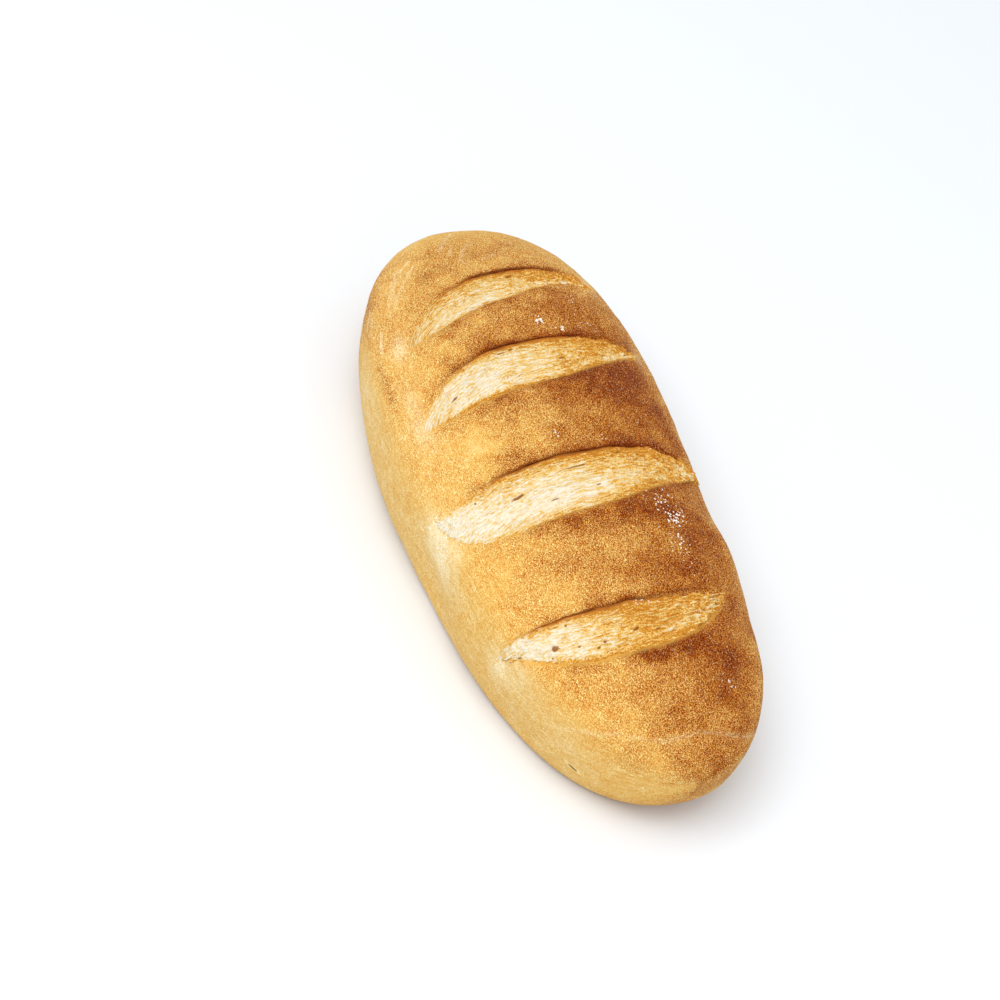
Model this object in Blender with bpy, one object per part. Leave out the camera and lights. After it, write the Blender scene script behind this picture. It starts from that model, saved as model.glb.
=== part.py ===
"""A white bread loaf, baked on a flat sheet, with four slanting cuts torn open across its top.

The loaf is one solid. Its skin is a row of closed rings from the far end to the near end.
A ring's cross-section is a rounded super-ellipse with a flattened underside. Near a cut the
rings bend to follow the cut's two edges, so that each crust lip is a crisp line of vertices.

Frame: +X runs along the loaf to its near end, +Z is up, and the origin is at the middle of
the base. An angle goes round a cross-section: 0 is the +Y side, 90 the top, 180 the -Y side
and 270 the underside.
"""
from dataclasses import dataclass

import bmesh
import bpy
import numpy as np

MM = 0.001                    # every size below is in millimetres, every angle in degrees

# The envelope of the loaf
HALF_LENGTH = 140.0
HALF_WIDTH = 57.9
CROWN_HEIGHT = 29.9           # from the widest line up to the top
WIDEST_LINE = 37.3            # height of the widest line above the base
SIDE_DROP = 56.7              # depth that the underside would have if it weren't flattened
CROWN_BLEND = 0.8             # share of a side over which the crown's curve takes over
SECTION_FULLNESS = 2.40       # super-ellipse exponent of a cross-section, 2 is an ellipse
FAR_FULLNESS = 2.31           # the same for the plan of the far end
NEAR_FULLNESS = 3.70          # the near end is blunter
CROWN_FULLNESS = 2.74         # the same for the side view of the top
PLAN_TAPER = -0.154           # the near end is narrower by this share of the width
PLAN_BEND = 10.0              # both ends lie this far to the +Y side of the middle
FAR_DROOP = 6.0               # the widest line is lower at the ends by this much
NEAR_DROOP = 3.8
DROOP_POWER = 2.5
BASE_ROUNDING = 4.0           # height over which the side turns into the flat underside

# The relief round a cut: heights are above or below the envelope
LIP_RISE = 0.9                # the crest of the lip on a cut's far side
LIP_SETBACK = 1.4             # the crest lies this far behind the lip's edge
LIP_EDGE_RISE = 0.3
LIP_REACH = 12.0              # the lip rises from the crust over this length
LIP_UNDERCUT = 0.5            # the wall under the lip starts this far behind the edge
WALL_TOP = -0.7
WALL_FOOT = -2.6              # the deepest line, at the foot of the wall under the lip
WALL_SLOPE = 1.1              # distance of that line in front of the lip's edge
CRUMB_SWELL = ((0.22, -1.7), (0.42, -1.25), (0.62, -1.5), (0.86, -2.0))
FOLD_PLACE = 0.42             # the torn fold runs along the crumb at this share of its width
FOLD_WIDTH = 0.13
CRUMB_RIM = -1.1              # the torn crumb where it meets the near crust
SHOULDER_EDGE = 1.5           # width of the near crust's rounded edge
SHOULDER_EDGE_RISE = 0.3
BAND_RISE = 1.5               # the crust's swell between two cuts
SHOULDER_REACH = 26.0         # the swell beside the last cut fades over this length
TIP_GAP = 2.4                 # least distance between the two edges, kept where a cut closes
RELAXED_GAP = 9.0             # distance of the two ring lines on the underside
RELAX_ANGLE = 45.0            # they spread to it over this angle beyond the cut's tip

# The rings
END_RINGS = 9                 # rings on each domed end
END_CROWDING = 1.75           # above 1 crowds the end's rings towards its pole
BAND_SHARES = (0.2, 0.45, 0.7, 0.9)
TOP_START = 16.0              # the cuts lie between these two angles
TOP_END = 184.0
TOP_COLUMNS = 54
UNDER_COLUMNS = 22

CRUST_COLOUR = (0.56, 0.27, 0.075, 1.0)
CRUST_ROUGHNESS = 0.62


@dataclass(frozen=True)
class Edge:
    """One edge of a cut: how it bows away from the straight line between the cut's tips."""
    bow: float                # greatest distance from that line, towards +X
    sharpness: float          # 0.5 is a round arc, above 1 the edge runs out at the tips
    lean: float               # below 1 the greatest bow is nearer the -Y tip


@dataclass(frozen=True)
class Cut:
    """A cut across the top, from its -Y tip to its +Y tip."""
    left_angle: float
    right_angle: float
    left_x: float
    right_x: float
    upper: Edge               # the edge towards the far end, with the overhanging lip
    lower: Edge               # the edge towards the near end
    fold_rise: float          # height of the torn fold that runs along the crumb


CUTS = (
    Cut(137, 35, -55.4, -84.4, Edge(-22.9, 0.85, 0.81), Edge(-8.2, 1.6, 1.38), 0.3),
    Cut(146, 33, -15.7, -43.7, Edge(-19.0, 1.02, 0.86), Edge(3.4, 1.6, 0.5), 0.4),
    Cut(166, 21, 21.2, 18.4, Edge(-10.6, 1.48, 1.55), Edge(19.8, 1.48, 0.55), 1.3),
    Cut(181, 48, 76.2, 75.6, Edge(3.0, 1.6, 0.87), Edge(21.5, 0.73, 1.12), 0.4),
)


@dataclass(frozen=True)
class Dent:
    """A soft hollow in a flank, or a swelling where its depth is below 0."""
    x: float
    angle: float
    reach_x: float
    reach_angle: float
    depth: float


DENTS = (
    Dent(-64, 186, 22, 20, 1.5),
    Dent(-36, 180, 18, 24, 1.2),
    Dent(-2, 202, 12, 20, 0.9),
    Dent(26, 195, 16, 16, 4.4),
    Dent(86, 205, 15, 20, 1.8),
    Dent(30, 30, 14, 20, 2.0),
    Dent(54, 28, 10, 18, -0.9),
    Dent(84, 28, 9, 18, 1.2),
    Dent(107, 14, 9, 15, -0.6),
)
DENT_FLOOR = 0.5              # dents fade out towards the base, between these two heights
DENT_FULL = 10.5


def power(value, exponent):
    """A signed power, for super-ellipses."""
    return np.sign(value) * np.abs(value) ** exponent


def smooth_step(value):
    value = np.clip(value, 0.0, 1.0)
    return value * value * (3.0 - 2.0 * value)


def flattened(height):
    """The underside pressed flat at zero, with a soft turn into the sides."""
    turn = (height + BASE_ROUNDING) ** 2 / (4.0 * BASE_ROUNDING)
    return np.where(height > BASE_ROUNDING, height, np.where(height < -BASE_ROUNDING, 0.0, turn))


def skin(x, angle):
    """Points of the smooth envelope at these lengths and angles."""
    reach = np.clip(np.abs(x) / HALF_LENGTH, 0.0, 1.0)
    along = x / HALF_LENGTH
    plan_fullness = np.where(x < 0.0, FAR_FULLNESS, NEAR_FULLNESS)
    plan = np.sqrt(np.clip(1.0 - reach ** plan_fullness, 0.0, 1.0))
    half_width = HALF_WIDTH * plan * (1.0 + PLAN_TAPER * along)
    crown = CROWN_HEIGHT * np.sqrt(np.clip(1.0 - reach ** CROWN_FULLNESS, 0.0, 1.0))
    droop = np.where(x < 0.0, FAR_DROOP, NEAR_DROOP) * reach ** DROOP_POWER
    exponent = 2.0 / SECTION_FULLNESS
    cosine = power(np.cos(np.radians(angle)), exponent)
    sine = power(np.sin(np.radians(angle)), exponent)
    y = PLAN_BEND * along ** 2 + half_width * cosine
    blend = smooth_step((sine + CROWN_BLEND) / (2.0 * CROWN_BLEND))
    drop = SIDE_DROP * plan
    z = WIDEST_LINE - droop + (drop + (crown - drop) * blend) * sine
    return np.stack(np.broadcast_arrays(x, y, flattened(z)), axis=-1)


def skin_normals(x, angle):
    """Outward directions of the envelope, from small steps along and round it."""
    step = 0.05
    along = skin(x + step, angle) - skin(x - step, angle)
    around = skin(x, angle + step) - skin(x, angle - step)
    normal = np.cross(around, along)
    return normal / np.maximum(np.linalg.norm(normal, axis=-1, keepdims=True), 1e-9)


def dent_depth(x, angle):
    """How far the dents take the flanks in."""
    depth = 0.0
    for dent in DENTS:
        spread = ((x - dent.x) / dent.reach_x) ** 2 + ((angle - dent.angle) / dent.reach_angle) ** 2
        depth = depth + dent.depth * np.exp(-spread)
    height = skin(x, angle)[..., 2]
    return depth * smooth_step((height - DENT_FLOOR) / (DENT_FULL - DENT_FLOOR))


def bowed(edge, share):
    """An edge's offset at a share of the way from the -Y tip to the +Y tip."""
    leaning = np.clip(share, 0.0, 1.0) ** edge.lean
    return edge.bow * (4.0 * leaning * (1.0 - leaning)) ** edge.sharpness


def cut_share(cut, angle):
    """How far across a cut each angle lies: 0 at its -Y tip and 1 at its +Y tip."""
    return (cut.left_angle - angle) / (cut.left_angle - cut.right_angle)


def cut_edges(cut, angle):
    """The x of a cut's two edges. Beyond the tips both lines go on round the underside."""
    share = cut_share(cut, angle)
    chord = cut.left_x + (cut.right_x - cut.left_x) * np.clip(share, 0.0, 1.0)
    upper = chord + bowed(cut.upper, share)
    lower = chord + bowed(cut.lower, share)
    beyond = np.maximum(angle - cut.left_angle, cut.right_angle - angle)
    relaxed = smooth_step(beyond / RELAX_ANGLE)
    middle = (upper + lower) / 2.0
    resting = (cut.left_x + cut.right_x) / 2.0
    middle = middle + (resting - middle) * relaxed
    gap = np.sqrt((lower - upper) ** 2 + TIP_GAP ** 2)
    gap = gap + (RELAXED_GAP - gap) * relaxed
    return middle - gap / 2.0, middle + gap / 2.0


def cut_depth(cut, angle):
    """1 in the middle of a cut, falling to 0 at its tips and beyond them."""
    share = np.clip(cut_share(cut, angle), 0.0, 1.0)
    return np.sin(np.pi * share) ** 0.7


def crumb_height(cut, share):
    """The torn crumb's height across a cut, with its fold."""
    shares = [0.0] + [place for place, height in CRUMB_SWELL] + [1.0]
    heights = [WALL_FOOT] + [height for place, height in CRUMB_SWELL] + [CRUMB_RIM]
    fold = cut.fold_rise * np.exp(-((share - FOLD_PLACE) / FOLD_WIDTH) ** 2)
    return np.interp(share, shares, heights) + fold


def cut_rings(cut, angle):
    """The rings of one cut, as pairs of x and relief, from its lip's crest to its near rim."""
    upper, lower = cut_edges(cut, angle)
    depth = cut_depth(cut, angle)
    ring_count = len(CRUMB_SWELL) + 3
    step = (lower - upper) / ring_count
    wall_top = step + (-LIP_UNDERCUT - step) * depth
    wall_foot = 2.0 * step + (WALL_SLOPE - 2.0 * step) * depth
    rings = [
        (upper - LIP_SETBACK, LIP_RISE * depth),
        (upper, LIP_EDGE_RISE * depth),
        (upper + wall_top, WALL_TOP * depth),
        (upper + wall_foot, WALL_FOOT * depth),
    ]
    for share, height in CRUMB_SWELL:
        x = upper + wall_foot + (lower - upper - wall_foot) * share
        rings.append((x, crumb_height(cut, share) * depth))
    rings.append((lower, CRUMB_RIM * depth))
    rings.append((lower + SHOULDER_EDGE, SHOULDER_EDGE_RISE * depth))
    return rings


def band_rings(before, after, angle):
    """The rings of the crust band between two cuts."""
    start = cut_edges(before, angle)[1] + SHOULDER_EDGE
    end = cut_edges(after, angle)[0] - LIP_SETBACK
    start_depth = cut_depth(before, angle)
    end_depth = cut_depth(after, angle)
    rings = []
    for share in BAND_SHARES:
        depth = start_depth + (end_depth - start_depth) * share
        swell = BAND_RISE * np.sin(np.pi * share) ** 0.6
        edge_rise = SHOULDER_EDGE_RISE + (LIP_RISE - SHOULDER_EDGE_RISE) * share
        rings.append((start + (end - start) * share, np.maximum(swell, edge_rise) * depth))
    return rings


def end_positions(pole, edge):
    """The x of a domed end's rings, from its pole towards the nearest cut."""
    shares = (np.arange(1, END_RINGS + 1) / (END_RINGS + 1)) ** END_CROWDING
    return [pole + (edge - pole) * share for share in shares]


def far_end_rings(angle):
    """The far end rises into the first cut's lip."""
    edge = cut_edges(CUTS[0], angle)[0] - LIP_SETBACK
    depth = cut_depth(CUTS[0], angle)
    rings = []
    for x in end_positions(-HALF_LENGTH, edge):
        rings.append((x, LIP_RISE * depth * np.exp(-((edge - x) / LIP_REACH) ** 2)))
    return rings


def near_end_rings(angle):
    """The near end swells behind the last cut's rounded edge."""
    edge = cut_edges(CUTS[-1], angle)[1] + SHOULDER_EDGE
    depth = cut_depth(CUTS[-1], angle)
    rings = []
    for x in reversed(end_positions(HALF_LENGTH, edge)):
        fade = np.exp(-((x - edge) / SHOULDER_REACH) ** 2)
        swell = SHOULDER_EDGE_RISE + (BAND_RISE - SHOULDER_EDGE_RISE) * smooth_step(x - edge)
        rings.append((x, swell * fade * depth))
    return rings


def all_rings(angle):
    """Every ring from the far pole to the near pole."""
    rings = far_end_rings(angle)
    for number, cut in enumerate(CUTS):
        rings += cut_rings(cut, angle)
        if cut is not CUTS[-1]:
            rings += band_rings(cut, CUTS[number + 1], angle)
    return rings + near_end_rings(angle)


def column_angles():
    """The angles of the columns: close together over the top, wide apart underneath."""
    top = np.linspace(TOP_START, TOP_END, TOP_COLUMNS, endpoint=False)
    under = np.linspace(TOP_END, TOP_START + 360.0, UNDER_COLUMNS, endpoint=False)
    angles = np.concatenate((top, under))
    return np.where(angles > 270.0, angles - 360.0, angles)


def loaf_points():
    """The grid of skin points, rings by columns, and the two poles."""
    angle = column_angles()
    rings = all_rings(angle)
    x = np.array([ring[0] for ring in rings])
    relief = np.array([ring[1] for ring in rings]) - dent_depth(x, angle[None, :])
    grid = skin(x, angle[None, :]) + skin_normals(x, angle[None, :]) * relief[..., None]
    poles = skin(np.array([-HALF_LENGTH, HALF_LENGTH]), np.array([0.0, 0.0]))
    low = np.minimum(grid.min(axis=(0, 1)), poles.min(axis=0))
    high = np.maximum(grid.max(axis=(0, 1)), poles.max(axis=0))
    centre = np.array([(low[0] + high[0]) / 2.0, (low[1] + high[1]) / 2.0, low[2]])
    return (grid - centre) * MM, (poles - centre) * MM


def bridge_rings(mesh, rings):
    """Quads between neighbouring rings, facing outwards."""
    for near, far in zip(rings[1:], rings[:-1]):
        for column in range(len(near)):
            following = (column + 1) % len(near)
            mesh.faces.new((far[column], far[following], near[following], near[column]))


def close_end(mesh, ring, pole, flip):
    """A fan from an end's last ring to its pole."""
    for column in range(len(ring)):
        pair = (ring[column], ring[(column + 1) % len(ring)])
        if flip:
            pair = (pair[1], pair[0])
        mesh.faces.new((pair[0], pair[1], pole))


def join_underside(mesh):
    """One flat face for the part of the underside that lies on the ground."""
    flat = [face for face in mesh.faces if all(vertex.co.z < 1e-7 for vertex in face.verts)]
    bmesh.ops.dissolve_faces(mesh, faces=flat, use_verts=True)


def crust_material():
    material = bpy.data.materials.new("crust")
    material.use_nodes = True
    shader = material.node_tree.nodes["Principled BSDF"]
    shader.inputs["Base Color"].default_value = CRUST_COLOUR
    shader.inputs["Roughness"].default_value = CRUST_ROUGHNESS
    shader.inputs["Metallic"].default_value = 0.0
    return material


def build_loaf():
    grid, poles = loaf_points()
    mesh = bmesh.new()
    rings = [[mesh.verts.new(point) for point in ring] for ring in grid]
    far_pole = mesh.verts.new(poles[0])
    near_pole = mesh.verts.new(poles[1])
    bridge_rings(mesh, rings)
    close_end(mesh, rings[0], far_pole, flip=True)
    close_end(mesh, rings[-1], near_pole, flip=False)
    bmesh.ops.recalc_face_normals(mesh, faces=mesh.faces)
    join_underside(mesh)
    data = bpy.data.meshes.new("loaf")
    mesh.to_mesh(data)
    mesh.free()
    data.shade_smooth()
    data.materials.append(crust_material())
    loaf = bpy.data.objects.new("loaf", data)
    bpy.context.scene.collection.objects.link(loaf)
    return loaf


def clear_scene():
    for old in list(bpy.data.objects):
        bpy.data.objects.remove(old, do_unlink=True)


clear_scene()
build_loaf()
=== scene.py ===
"""The looks of a white bread loaf: browned crust, torn crumb in its four cuts, and flour.

Lengths are in millimetres and angles in degrees until a mesh is made. A place on the loaf is
an x along it and an angle round it: 0 is the +Y side, 90 the top, 180 the -Y side, 270 below.
"""
import math
import random
from dataclasses import dataclass

import bpy
import numpy as np
from mathutils import Matrix, Vector, noise
from mathutils.bvhtree import BVHTree


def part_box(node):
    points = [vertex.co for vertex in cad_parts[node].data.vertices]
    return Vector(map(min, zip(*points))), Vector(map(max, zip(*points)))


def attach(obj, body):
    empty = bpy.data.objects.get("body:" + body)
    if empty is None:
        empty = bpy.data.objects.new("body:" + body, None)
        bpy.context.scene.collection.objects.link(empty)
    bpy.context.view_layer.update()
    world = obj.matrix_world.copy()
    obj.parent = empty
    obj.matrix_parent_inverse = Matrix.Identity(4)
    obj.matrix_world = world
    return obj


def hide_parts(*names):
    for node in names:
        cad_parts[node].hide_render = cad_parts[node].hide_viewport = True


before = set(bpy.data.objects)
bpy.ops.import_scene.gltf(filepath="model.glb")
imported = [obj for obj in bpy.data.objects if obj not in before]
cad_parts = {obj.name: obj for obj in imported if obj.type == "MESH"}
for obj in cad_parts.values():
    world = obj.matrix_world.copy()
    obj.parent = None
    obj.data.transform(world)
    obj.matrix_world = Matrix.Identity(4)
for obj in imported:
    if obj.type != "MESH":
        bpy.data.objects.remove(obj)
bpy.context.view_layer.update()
LOAF_LOW, LOAF_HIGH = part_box("loaf")

MM = 0.001

# The envelope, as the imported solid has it
HALF_LENGTH = (LOAF_HIGH.x - LOAF_LOW.x) / 2.0 / MM
HALF_WIDTH = 57.9
CROWN_HEIGHT = 29.9
WIDEST_LINE = 37.3
SIDE_DROP = 56.7
CROWN_BLEND = 0.8
SECTION_FULLNESS = 2.40
FAR_FULLNESS = 2.31
NEAR_FULLNESS = 3.70
CROWN_FULLNESS = 2.74
PLAN_TAPER = -0.154
PLAN_BEND = 10.0
FAR_DROOP = 6.0
NEAR_DROOP = 3.8
DROOP_POWER = 2.5
BASE_ROUNDING = 4.0

# The crust beside a cut, as pairs of distance and height.
# Distances are from the far lip's edge, and inside the cut they go under the lip.
LIP_OUTSIDE = ((-6.0, 0.5), (-4.6, 0.66), (-3.4, 0.8), (-2.4, 0.88), (-1.6, 0.9), (-1.0, 0.86),
               (-0.5, 0.74), (-0.15, 0.52), (0.0, 0.3))
LIP_INSIDE = ((-0.1, 0.0), (-0.4, -0.4), (-0.7, -1.0), (-0.8, -1.8), (-0.6, -2.8), (0.2, -4.2))
# Distances are from the near crust's edge
RIM_INSIDE = ((-2.4, -4.2), (-1.2, -3.1), (-0.45, -2.0))
RIM_OUTSIDE = ((0.0, -1.0), (0.4, -0.5), (0.9, -0.05), (1.6, 0.4), (2.5, 0.78), (3.6, 1.08))
BAND_RISE = 1.5  # how far the crust swells up between two cuts
BAND_ROWS = 30
SHOULDER_REACH = 26.0
LIP_REACH = 12.0
FAR_ROWS = 50
NEAR_ROWS = 54
END_CROWDING = 1.6  # above 1 it crowds the rows towards the loaf's ends
TIP_GAP = 2.4  # a cut's two edges are this far apart at its tips
RELAXED_GAP = 9.0  # and this far apart once they are RELAX_ANGLE beyond them
RELAX_ANGLE = 45.0
BASE_MARGIN = 0.5  # no dent or unevenness lies lower than this
BASE_FADE = 10.0  # and they grow to their full height over this much more

# The columns, as pairs of the angle where a stretch starts and its number of columns
COLUMN_STRETCHES = ((14.0, 250), (190.0, 34), (214.0, 12), (232.0, 14), (308.0, 24), (374.0, 0))


@dataclass(frozen=True)
class Edge:
    """One edge of a cut: how it bows away from the straight line between the cut's tips."""
    bow: float
    sharpness: float
    lean: float


@dataclass(frozen=True)
class Cut:
    """A cut across the top, from its -Y tip to its +Y tip."""
    number: int
    left_angle: float
    right_angle: float
    left_x: float
    right_x: float
    upper: Edge
    lower: Edge
    toast: float  # how golden its crumb is


CUTS = (
    Cut(1, 137, 35, -55.4, -84.4, Edge(-22.9, 0.85, 0.81), Edge(-8.2, 1.6, 1.38), 0.52),
    Cut(2, 146, 33, -15.7, -43.7, Edge(-19.0, 1.02, 0.86), Edge(3.4, 1.6, 0.5), 0.36),
    Cut(3, 166, 21, 21.2, 18.4, Edge(-10.6, 1.48, 1.55), Edge(19.8, 1.48, 0.55), 0.22),
    Cut(4, 181, 48, 76.2, 75.6, Edge(3.0, 1.6, 0.87), Edge(21.5, 0.73, 1.12), 0.32),
)


# -------- shapes

def power(value, exponent):
    return np.sign(value) * np.abs(value) ** exponent


def smooth_step(value):
    value = np.clip(value, 0.0, 1.0)
    return value * value * (3.0 - 2.0 * value)


def bell(value):
    return np.exp(-value * value)


def flattened(height):
    """Heights with a flat base: none is below 0, and the edge of the flat is round."""
    turn = (height + BASE_ROUNDING) ** 2 / (4.0 * BASE_ROUNDING)
    return np.where(height > BASE_ROUNDING, height, np.where(height < -BASE_ROUNDING, 0.0, turn))


def skin(x, angle):
    """Points of the smooth envelope at these lengths and angles."""
    reach = np.clip(np.abs(x) / HALF_LENGTH, 0.0, 1.0)
    along = x / HALF_LENGTH
    plan_fullness = np.where(x < 0.0, FAR_FULLNESS, NEAR_FULLNESS)
    plan = np.sqrt(np.clip(1.0 - reach ** plan_fullness, 0.0, 1.0))
    half_width = HALF_WIDTH * plan * (1.0 + PLAN_TAPER * along)
    crown = CROWN_HEIGHT * np.sqrt(np.clip(1.0 - reach ** CROWN_FULLNESS, 0.0, 1.0))
    droop = np.where(x < 0.0, FAR_DROOP, NEAR_DROOP) * reach ** DROOP_POWER
    exponent = 2.0 / SECTION_FULLNESS
    cosine = power(np.cos(np.radians(angle)), exponent)
    sine = power(np.sin(np.radians(angle)), exponent)
    y = PLAN_BEND * along ** 2 + half_width * cosine
    blend = smooth_step((sine + CROWN_BLEND) / (2.0 * CROWN_BLEND))
    drop = SIDE_DROP * plan
    z = WIDEST_LINE - droop + (drop + (crown - drop) * blend) * sine
    return np.stack(np.broadcast_arrays(x, y, flattened(z)), axis=-1)


def skin_normals(x, angle):
    """Unit vectors that point straight out of the envelope."""
    step = 0.05
    along = skin(x + step, angle) - skin(x - step, angle)
    around = skin(x, angle + step) - skin(x, angle - step)
    normal = np.cross(around, along)
    return normal / np.maximum(np.linalg.norm(normal, axis=-1, keepdims=True), 1e-9)


@dataclass(frozen=True)
class Patch:
    """A soft patch by x and angle, or in a cut's crumb by shares of the cut, and what it adds."""
    along: float
    around: float
    reach_along: float
    reach_around: float
    amount: float


def patch_sum(patches, along, around):
    total = np.zeros(np.broadcast(along, around).shape)
    for patch in patches:
        along_it = (along - patch.along) / patch.reach_along
        around_it = (around - patch.around) / patch.reach_around
        total += patch.amount * np.exp(-(along_it ** 2 + around_it ** 2))
    return total


# Soft hollows in the flanks, and swellings where the amount is below 0
DENTS = (
    Patch(-64, 186, 22, 20, 1.5), Patch(-36, 180, 18, 24, 1.2), Patch(-2, 202, 12, 20, 0.9),
    Patch(26, 195, 16, 16, 4.4), Patch(86, 205, 15, 20, 1.8), Patch(30, 30, 14, 20, 2.0),
    Patch(54, 28, 10, 18, -0.9), Patch(84, 28, 9, 18, 1.2), Patch(107, 14, 9, 15, -0.6),
)


def above_base(points):
    """0 at the flat base and 1 well above it, so that the base stays flat."""
    return smooth_step((points[..., 2] - BASE_MARGIN) / BASE_FADE)


def dent_depth(x, angle):
    """How far the dents take the flanks in."""
    return patch_sum(DENTS, x, angle) * above_base(skin(x, angle))


def dented(x, angle):
    return skin(x, angle) - skin_normals(x, angle) * dent_depth(x, angle)[..., None]


def frame_offset():
    """From the envelope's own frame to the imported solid's, in millimetres."""
    x = np.linspace(-HALF_LENGTH, HALF_LENGTH, 400)[1:-1]
    sides = np.stack([dented(x, np.full_like(x, angle))[:, 1] for angle in (0.0, 180.0)])
    middle = (LOAF_LOW + LOAF_HIGH) / 2.0 / MM
    return np.array([middle.x, middle.y - (sides.min() + sides.max()) / 2.0, LOAF_LOW.z / MM])


OFFSET = frame_offset()


def ripple(points, size, place):
    """Smooth noise from about -1 to 1 with lumps of this size. Each place is another pattern."""
    spots = np.asarray(points).reshape(-1, 3) / size + place
    values = [noise.noise(spot) for spot in spots.tolist()]
    return np.array(values).reshape(np.asarray(points).shape[:-1])


def bowed(edge, share):
    """How far an edge lies from the straight line, at this share of the way from tip to tip."""
    leaning = np.clip(share, 0.0, 1.0) ** edge.lean
    return edge.bow * (4.0 * leaning * (1.0 - leaning)) ** edge.sharpness


def cut_share(cut, angle):
    """The share of the way from a cut's -Y tip, at 0, to its +Y tip, at 1."""
    return (cut.left_angle - angle) / (cut.left_angle - cut.right_angle)


def edge_wobble(cut, angle, place):
    """How far a torn edge strays from its smooth line."""
    spots = np.stack(np.broadcast_arrays(angle, cut.number * 7.0, place), axis=-1)
    share = np.clip(cut_share(cut, angle), 0.0, 1.0)
    fade = smooth_step(np.minimum(share, 1.0 - share) / 0.12)
    calm = 1.0 - 0.6 * smooth_step((angle - 105.0) / 30.0)
    return (0.7 * ripple(spots, 9.0, 3.0) + 0.28 * ripple(spots, 2.2, 5.0)) * fade * calm


def cut_edges(cut, angle):
    """The x of a cut's two edges. Beyond the tips both lines go on round the underside."""
    share = cut_share(cut, angle)
    chord = cut.left_x + (cut.right_x - cut.left_x) * np.clip(share, 0.0, 1.0)
    upper = chord + bowed(cut.upper, share) + edge_wobble(cut, angle, 1.0)
    lower = chord + bowed(cut.lower, share) + edge_wobble(cut, angle, 40.0)
    beyond = np.maximum(angle - cut.left_angle, cut.right_angle - angle)
    relaxed = smooth_step(beyond / RELAX_ANGLE)
    middle = (upper + lower) / 2.0
    resting = (cut.left_x + cut.right_x) / 2.0
    middle = middle + (resting - middle) * relaxed
    gap = np.sqrt((lower - upper) ** 2 + TIP_GAP ** 2)
    gap = gap + (RELAXED_GAP - gap) * relaxed
    return middle - gap / 2.0, middle + gap / 2.0


def cut_depth(cut, angle):
    """1 in the middle of a cut, falling to 0 at its tips and beyond them."""
    share = np.clip(cut_share(cut, angle), 0.0, 1.0)
    return np.sin(np.pi * share) ** 0.8


def column_angles():
    """The angle of each column of the crust's points, once round the loaf."""
    stretches = []
    for (start, count), (end, _) in zip(COLUMN_STRETCHES, COLUMN_STRETCHES[1:]):
        stretches.append(np.linspace(start, end, count, endpoint=False))
    angles = np.concatenate(stretches)
    return np.where(angles > 270.0, angles - 360.0, angles)


def cut_rows(cut, angle):
    """The crust's rows along one cut, from behind its far lip to its near shoulder."""
    upper, lower = cut_edges(cut, angle)
    depth = cut_depth(cut, angle)
    inner = len(LIP_INSIDE) + len(RIM_INSIDE) + 1
    step = (lower - upper) / inner
    rows = [(upper + distance, height * depth) for distance, height in LIP_OUTSIDE]
    for number, (distance, height) in enumerate(LIP_INSIDE, start=1):
        rows.append((upper + number * step + (distance - number * step) * depth, height * depth))
    for number, (distance, height) in enumerate(reversed(RIM_INSIDE), start=1):
        place = lower - number * step + (distance + number * step) * depth
        rows.insert(len(LIP_OUTSIDE) + len(LIP_INSIDE), (place, height * depth))
    rows += [(lower + distance, height * depth) for distance, height in RIM_OUTSIDE]
    return rows


def band_rows(before, after, angle):
    """The crust's rows between two cuts."""
    start = cut_edges(before, angle)[1] + RIM_OUTSIDE[-1][0]
    end = cut_edges(after, angle)[0] + LIP_OUTSIDE[0][0]
    start_depth = cut_depth(before, angle)
    end_depth = cut_depth(after, angle)
    rows = []
    for number in range(1, BAND_ROWS + 1):
        share = number / (BAND_ROWS + 1)
        depth = start_depth + (end_depth - start_depth) * share
        edges = RIM_OUTSIDE[-1][1] + (LIP_OUTSIDE[0][1] - RIM_OUTSIDE[-1][1]) * share
        swell = edges + (BAND_RISE - edges) * math.sin(math.pi * share) ** 0.8
        rows.append((start + (end - start) * share, swell * depth))
    return rows


def far_rows(angle):
    """The crust's rows from the far pole to the first cut."""
    edge = cut_edges(CUTS[0], angle)[0] + LIP_OUTSIDE[0][0]
    depth = cut_depth(CUTS[0], angle)
    rows = []
    for number in range(1, FAR_ROWS + 1):
        share = (number / (FAR_ROWS + 1)) ** END_CROWDING
        x = -HALF_LENGTH + (edge + HALF_LENGTH) * share
        rows.append((x, LIP_OUTSIDE[0][1] * depth * bell((edge - x) / LIP_REACH)))
    return rows


def near_rows(angle):
    """The crust's rows from the last cut to the near pole."""
    edge = cut_edges(CUTS[-1], angle)[1] + RIM_OUTSIDE[-1][0]
    depth = cut_depth(CUTS[-1], angle)
    rows = []
    for number in range(NEAR_ROWS, 0, -1):
        share = (number / (NEAR_ROWS + 1)) ** END_CROWDING
        x = HALF_LENGTH + (edge - HALF_LENGTH) * share
        rise = RIM_OUTSIDE[-1][1]
        swell = rise + (BAND_RISE - rise) * smooth_step((x - edge) / 5.0)
        rows.append((x, swell * bell((x - edge) / SHOULDER_REACH) * depth))
    return rows


def crust_rows(angle):
    rows = far_rows(angle)
    for cut, following in zip(CUTS, CUTS[1:]):
        rows += cut_rows(cut, angle) + band_rows(cut, following, angle)
    return rows + cut_rows(CUTS[-1], angle) + near_rows(angle)


# -------- the crust's colours

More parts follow.
